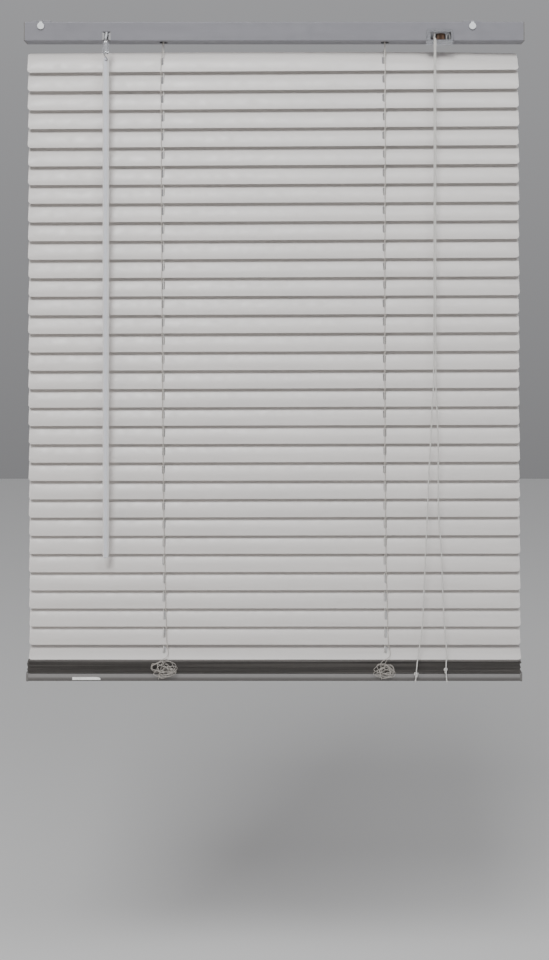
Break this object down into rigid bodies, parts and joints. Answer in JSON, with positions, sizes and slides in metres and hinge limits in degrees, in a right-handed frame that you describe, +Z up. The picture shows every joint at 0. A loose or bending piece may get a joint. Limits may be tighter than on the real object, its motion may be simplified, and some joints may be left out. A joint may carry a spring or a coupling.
{
  "type": "venetian blind",
  "caption": "Aluminium venetian blind hung partly raised, slats closed, with tilt wand, cord lock, pull cords, string ladders and slats stacked on the bottom rail.",
  "frame": {"origin": "midway between the screw holes of the two top-fix brackets, on the plane they are screwed to", "axes": "+Z up, -Y towards the room, +X to the right as seen from the room"},
  "size_m": [0.58, 0.0367, 0.767],
  "materials": {
    "slat_paint": "satin off-white enamel on aluminium",
    "headrail_paint": "satin enamel",
    "rail_paint": "satin enamel",
    "bracket_paint": "gloss white",
    "end_cap_plastic": "moulded",
    "clear_plastic": "clear polycarbonate",
    "wand_acrylic": "clear acrylic",
    "mechanism_plastic": "moulded nylon",
    "worm_plastic": "moulded acetal",
    "plug_plastic": "moulded",
    "rod_steel": "zinc plated",
    "hook_wire": "nickel plated wire",
    "roller_brass": "knurled, dulled",
    "cord": "braided polyester",
    "ladder_string": "braided polyester"
  },
  "bodies": {
    "headrail": {"headrail": "headrail_paint", "headrail_end_caps": "end_cap_plastic", "mounting_brackets": "bracket_paint", "drum_cradles": "clear_plastic", "tilter_housing": "mechanism_plastic", "cord_lock_body": "mechanism_plastic", "lock_bezel": "clear_plastic", "lift_cords": "cord"},
    "tilt_rod": {"tilt_rod": "rod_steel", "ladder_drums": "clear_plastic", "worm_gear": "mechanism_plastic"},
    "worm": {"worm_shaft": "worm_plastic"},
    "wand_link": {"wand_sleeve": "clear_plastic"},
    "wand_hook": {"wand_hook": "hook_wire"},
    "wand": {"wand": "wand_acrylic"},
    "ladder_front": {"ladder_front": "ladder_string"},
    "ladder_rear": {"ladder_rear": "ladder_string"},
    "lock_roller": {"lock_roller": "roller_brass"},
    "bottom_rail": {"bottom_rail": "rail_paint", "bottom_rail_end_caps": "end_cap_plastic", "bottom_rail_plugs": "plug_plastic", "stacked_slats": "slat_paint", "ladder_bunch_left": "ladder_string", "ladder_bunch_right": "ladder_string"},
    "pull_cords": {"pull_cord_left": "cord", "pull_cord_right": "cord"},
    "slat_01": {"slat_01": "slat_paint"},
    "slat_02": {"slat_02": "slat_paint"},
    "slat_03": {"slat_03": "slat_paint"},
    "slat_04": {"slat_04": "slat_paint"},
    "slat_05": {"slat_05": "slat_paint"},
    "slat_06": {"slat_06": "slat_paint"},
    "slat_07": {"slat_07": "slat_paint"},
    "slat_08": {"slat_08": "slat_paint"},
    "slat_09": {"slat_09": "slat_paint"},
    "slat_10": {"slat_10": "slat_paint"},
    "slat_11": {"slat_11": "slat_paint"},
    "slat_12": {"slat_12": "slat_paint"},
    "slat_13": {"slat_13": "slat_paint"},
    "slat_14": {"slat_14": "slat_paint"},
    "slat_15": {"slat_15": "slat_paint"},
    "slat_16": {"slat_16": "slat_paint"},
    "slat_17": {"slat_17": "slat_paint"},
    "slat_18": {"slat_18": "slat_paint"},
    "slat_19": {"slat_19": "slat_paint"},
    "slat_20": {"slat_20": "slat_paint"},
    "slat_21": {"slat_21": "slat_paint"},
    "slat_22": {"slat_22": "slat_paint"},
    "slat_23": {"slat_23": "slat_paint"},
    "slat_24": {"slat_24": "slat_paint"},
    "slat_25": {"slat_25": "slat_paint"},
    "slat_26": {"slat_26": "slat_paint"},
    "slat_27": {"slat_27": "slat_paint"},
    "slat_28": {"slat_28": "slat_paint"},
    "slat_29": {"slat_29": "slat_paint"},
    "slat_30": {"slat_30": "slat_paint"},
    "slat_31": {"slat_31": "slat_paint"},
    "slat_32": {"slat_32": "slat_paint"},
    "slat_33": {"slat_33": "slat_paint"}
  },
  "joints": [
    {"name": "tilt", "type": "hinge", "parent": "headrail", "child": "tilt_rod", "pos_m": [0.0203, 0, -0.0128], "axis": [-1, 0, 0], "range_deg": [0, 140]},
    {"name": "worm_turn", "type": "hinge", "parent": "headrail", "child": "worm", "pos_m": [-0.174, -0.00535, -0.00798], "axis": [0, -0.6691, -0.7431], "range_deg": [0, 1680]},
    {"name": "wand_swing_out", "type": "hinge", "parent": "headrail", "child": "wand_link", "pos_m": [-0.174, -0.0192, -0.0236], "axis": [-1, 0, 0], "range_deg": [0, 75]},
    {"name": "wand_swing_side", "type": "hinge", "parent": "wand_link", "child": "wand_hook", "pos_m": [-0.174, -0.0192, -0.0411], "axis": [0, 1, 0], "range_deg": [-20, 20]},
    {"name": "wand_turn", "type": "hinge", "parent": "wand_hook", "child": "wand", "pos_m": [-0.174, -0.0192, -0.0434], "axis": [0, 0, -1], "range_deg": [0, 1680]},
    {"name": "front_ladder_swing", "type": "hinge", "parent": "tilt_rod", "child": "ladder_front", "pos_m": [0.0203, -0.00401, -0.02688], "axis": [-1, 0, 0], "range_deg": [-140, 0]},
    {"name": "rear_ladder_swing", "type": "hinge", "parent": "tilt_rod", "child": "ladder_rear", "pos_m": [0.0203, 0.00598, 0.00056], "axis": [-1, 0, 0], "range_deg": [-140, 0]},
    {"name": "lock_roller_slide", "type": "slide", "parent": "headrail", "child": "lock_roller", "axis": [1, 0, 0], "range_m": [0, 0.003]},
    {"name": "lift", "type": "slide", "parent": "headrail", "child": "bottom_rail", "axis": [0, 0, 1], "range_m": [-0.012, 0]},
    {"name": "pull_cord_slide", "type": "slide", "parent": "headrail", "child": "pull_cords", "axis": [0, 0, 1], "range_m": [0, 0.012], "deforming": ["pull_cord_left", "pull_cord_right"]},
    {"name": "slat_01_tilt", "type": "hinge", "parent": "headrail", "child": "slat_01", "pos_m": [0.0203, 0, -0.0449], "axis": [-1, 0, 0], "range_deg": [0, 140]},
    {"name": "slat_02_tilt", "type": "hinge", "parent": "headrail", "child": "slat_02", "pos_m": [0.0203, 0, -0.06687], "axis": [-1, 0, 0], "range_deg": [0, 140]},
    {"name": "slat_03_tilt", "type": "hinge", "parent": "headrail", "child": "slat_03", "pos_m": [0.0203, 0, -0.08881], "axis": [-1, 0, 0], "range_deg": [0, 140]},
    {"name": "slat_04_tilt", "type": "hinge", "parent": "headrail", "child": "slat_04", "pos_m": [0.0203, 0, -0.11073], "axis": [-1, 0, 0], "range_deg": [0, 140]},
    {"name": "slat_05_tilt", "type": "hinge", "parent": "headrail", "child": "slat_05", "pos_m": [0.0203, 0, -0.13261], "axis": [-1, 0, 0], "range_deg": [0, 140]},
    {"name": "slat_06_tilt", "type": "hinge", "parent": "headrail", "child": "slat_06", "pos_m": [0.0203, 0, -0.15447], "axis": [-1, 0, 0], "range_deg": [0, 140]},
    {"name": "slat_07_tilt", "type": "hinge", "parent": "headrail", "child": "slat_07", "pos_m": [0.0203, 0, -0.1763], "axis": [-1, 0, 0], "range_deg": [0, 140]},
    {"name": "slat_08_tilt", "type": "hinge", "parent": "headrail", "child": "slat_08", "pos_m": [0.0203, 0, -0.1981], "axis": [-1, 0, 0], "range_deg": [0, 140]},
    {"name": "slat_09_tilt", "type": "hinge", "parent": "headrail", "child": "slat_09", "pos_m": [0.0203, 0, -0.21988], "axis": [-1, 0, 0], "range_deg": [0, 140]},
    {"name": "slat_10_tilt", "type": "hinge", "parent": "headrail", "child": "slat_10", "pos_m": [0.0203, 0, -0.24162], "axis": [-1, 0, 0], "range_deg": [0, 140]},
    {"name": "slat_11_tilt", "type": "hinge", "parent": "headrail", "child": "slat_11", "pos_m": [0.0203, 0, -0.26334], "axis": [-1, 0, 0], "range_deg": [0, 140]},
    {"name": "slat_12_tilt", "type": "hinge", "parent": "headrail", "child": "slat_12", "pos_m": [0.0203, 0, -0.28503], "axis": [-1, 0, 0], "range_deg": [0, 140]},
    {"name": "slat_13_tilt", "type": "hinge", "parent": "headrail", "child": "slat_13", "pos_m": [0.0203, 0, -0.30669], "axis": [-1, 0, 0], "range_deg": [0, 140]},
    {"name": "slat_14_tilt", "type": "hinge", "parent": "headrail", "child": "slat_14", "pos_m": [0.0203, 0, -0.32833], "axis": [-1, 0, 0], "range_deg": [0, 140]},
    {"name": "slat_15_tilt", "type": "hinge", "parent": "headrail", "child": "slat_15", "pos_m": [0.0203, 0, -0.34993], "axis": [-1, 0, 0], "range_deg": [0, 140]},
    {"name": "slat_16_tilt", "type": "hinge", "parent": "headrail", "child": "slat_16", "pos_m": [0.0203, 0, -0.37151], "axis": [-1, 0, 0], "range_deg": [0, 140]},
    {"name": "slat_17_tilt", "type": "hinge", "parent": "headrail", "child": "slat_17", "pos_m": [0.0203, 0, -0.39306], "axis": [-1, 0, 0], "range_deg": [0, 140]},
    {"name": "slat_18_tilt", "type": "hinge", "parent": "headrail", "child": "slat_18", "pos_m": [0.0203, 0, -0.41458], "axis": [-1, 0, 0], "range_deg": [0, 140]},
    {"name": "slat_19_tilt", "type": "hinge", "parent": "headrail", "child": "slat_19", "pos_m": [0.0203, 0, -0.43608], "axis": [-1, 0, 0], "range_deg": [0, 140]},
    {"name": "slat_20_tilt", "type": "hinge", "parent": "headrail", "child": "slat_20", "pos_m": [0.0203, 0, -0.45754], "axis": [-1, 0, 0], "range_deg": [0, 140]},
    {"name": "slat_21_tilt", "type": "hinge", "parent": "headrail", "child": "slat_21", "pos_m": [0.0203, 0, -0.47898], "axis": [-1, 0, 0], "range_deg": [0, 140]},
    {"name": "slat_22_tilt", "type": "hinge", "parent": "headrail", "child": "slat_22", "pos_m": [0.0203, 0, -0.50039], "axis": [-1, 0, 0], "range_deg": [0, 140]},
    {"name": "slat_23_tilt", "type": "hinge", "parent": "headrail", "child": "slat_23", "pos_m": [0.0203, 0, -0.52177], "axis": [-1, 0, 0], "range_deg": [0, 140]},
    {"name": "slat_24_tilt", "type": "hinge", "parent": "headrail", "child": "slat_24", "pos_m": [0.0203, 0, -0.54313], "axis": [-1, 0, 0], "range_deg": [0, 140]},
    {"name": "slat_25_tilt", "type": "hinge", "parent": "headrail", "child": "slat_25", "pos_m": [0.0203, 0, -0.56445], "axis": [-1, 0, 0], "range_deg": [0, 140]},
    {"name": "slat_26_tilt", "type": "hinge", "parent": "headrail", "child": "slat_26", "pos_m": [0.0203, 0, -0.58575], "axis": [-1, 0, 0], "range_deg": [0, 140]},
    {"name": "slat_27_tilt", "type": "hinge", "parent": "headrail", "child": "slat_27", "pos_m": [0.0203, 0, -0.60702], "axis": [-1, 0, 0], "range_deg": [0, 140]},
    {"name": "slat_28_tilt", "type": "hinge", "parent": "headrail", "child": "slat_28", "pos_m": [0.0203, 0, -0.62826], "axis": [-1, 0, 0], "range_deg": [0, 140]},
    {"name": "slat_29_tilt", "type": "hinge", "parent": "headrail", "child": "slat_29", "pos_m": [0.0203, 0, -0.64948], "axis": [-1, 0, 0], "range_deg": [0, 140]},
    {"name": "slat_30_tilt", "type": "hinge", "parent": "headrail", "child": "slat_30", "pos_m": [0.0203, 0, -0.67066], "axis": [-1, 0, 0], "range_deg": [0, 140]},
    {"name": "slat_31_tilt", "type": "hinge", "parent": "headrail", "child": "slat_31", "pos_m": [0.0203, 0, -0.69182], "axis": [-1, 0, 0], "range_deg": [0, 140]},
    {"name": "slat_32_tilt", "type": "hinge", "parent": "headrail", "child": "slat_32", "pos_m": [0.0203, 0, -0.71295], "axis": [-1, 0, 0], "range_deg": [0, 140]},
    {"name": "slat_33_tilt", "type": "hinge", "parent": "headrail", "child": "slat_33", "pos_m": [0.0203, 0, -0.7322], "axis": [-1, 0, 0], "range_deg": [0, 80]}
  ],
  "couplings": [
    {"joint": "worm_turn", "follows": "tilt", "ratio": 12},
    {"joint": "wand_turn", "follows": "tilt", "ratio": 12},
    {"joint": "front_ladder_swing", "follows": "tilt", "ratio": -1},
    {"joint": "rear_ladder_swing", "follows": "tilt", "ratio": -1},
    {"joint": "pull_cord_slide", "follows": "lift", "ratio": -1},
    {"joint": "slat_01_tilt", "follows": "tilt", "ratio": 1},
    {"joint": "slat_02_tilt", "follows": "tilt", "ratio": 1},
    {"joint": "slat_03_tilt", "follows": "tilt", "ratio": 1},
    {"joint": "slat_04_tilt", "follows": "tilt", "ratio": 1},
    {"joint": "slat_05_tilt", "follows": "tilt", "ratio": 1},
    {"joint": "slat_06_tilt", "follows": "tilt", "ratio": 1},
    {"joint": "slat_07_tilt", "follows": "tilt", "ratio": 1},
    {"joint": "slat_08_tilt", "follows": "tilt", "ratio": 1},
    {"joint": "slat_09_tilt", "follows": "tilt", "ratio": 1},
    {"joint": "slat_10_tilt", "follows": "tilt", "ratio": 1},
    {"joint": "slat_11_tilt", "follows": "tilt", "ratio": 1},
    {"joint": "slat_12_tilt", "follows": "tilt", "ratio": 1},
    {"joint": "slat_13_tilt", "follows": "tilt", "ratio": 1},
    {"joint": "slat_14_tilt", "follows": "tilt", "ratio": 1},
    {"joint": "slat_15_tilt", "follows": "tilt", "ratio": 1},
    {"joint": "slat_16_tilt", "follows": "tilt", "ratio": 1},
    {"joint": "slat_17_tilt", "follows": "tilt", "ratio": 1},
    {"joint": "slat_18_tilt", "follows": "tilt", "ratio": 1},
    {"joint": "slat_19_tilt", "follows": "tilt", "ratio": 1},
    {"joint": "slat_20_tilt", "follows": "tilt", "ratio": 1},
    {"joint": "slat_21_tilt", "follows": "tilt", "ratio": 1},
    {"joint": "slat_22_tilt", "follows": "tilt", "ratio": 1},
    {"joint": "slat_23_tilt", "follows": "tilt", "ratio": 1},
    {"joint": "slat_24_tilt", "follows": "tilt", "ratio": 1},
    {"joint": "slat_25_tilt", "follows": "tilt", "ratio": 1},
    {"joint": "slat_26_tilt", "follows": "tilt", "ratio": 1},
    {"joint": "slat_27_tilt", "follows": "tilt", "ratio": 1},
    {"joint": "slat_28_tilt", "follows": "tilt", "ratio": 1},
    {"joint": "slat_29_tilt", "follows": "tilt", "ratio": 1},
    {"joint": "slat_30_tilt", "follows": "tilt", "ratio": 1},
    {"joint": "slat_31_tilt", "follows": "tilt", "ratio": 1},
    {"joint": "slat_32_tilt", "follows": "tilt", "ratio": 1},
    {"joint": "slat_33_tilt", "follows": "tilt", "ratio": 0.57143}
  ]
}
